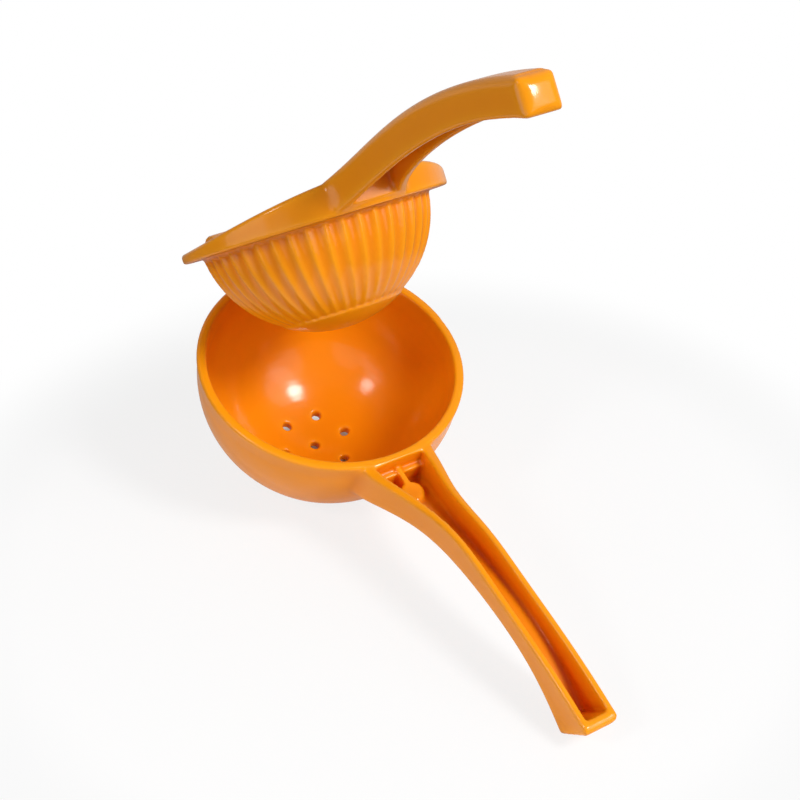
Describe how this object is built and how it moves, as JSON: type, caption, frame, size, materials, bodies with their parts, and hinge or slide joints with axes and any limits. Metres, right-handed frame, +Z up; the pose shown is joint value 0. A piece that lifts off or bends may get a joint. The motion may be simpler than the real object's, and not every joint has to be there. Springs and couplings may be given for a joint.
{
  "type": "hinged citrus squeezer",
  "caption": "Hand squeezer for citrus halves: a cup with drain holes and a fluted press dome, each cast with a long channelled handle, joined by a hinge pin behind the cup.",
  "frame": {"origin": "on the surface that the squeezer stands on, under the middle of its length and width as it stands half open", "axes": "+X runs along the tool to the ends of the handles, +Y to its left, +Z up. The tool is mirrored about the XZ plane."},
  "size_m": [0.2292, 0.097, 0.2052],
  "materials": {
    "enamel": "glossy orange enamel baked on cast aluminium",
    "steel": "plain turned steel"
  },
  "bodies": {
    "lower": {"lower_casting": "enamel"},
    "upper": {"upper_casting": "enamel", "hinge_pin": "steel"}
  },
  "joints": [
    {"name": "hinge", "type": "hinge", "parent": "lower", "child": "upper", "pos_m": [-0.10483, 0, 0.07113], "axis": [0, -1, 0], "range_deg": [-49.9, 58.8]}
  ]
}
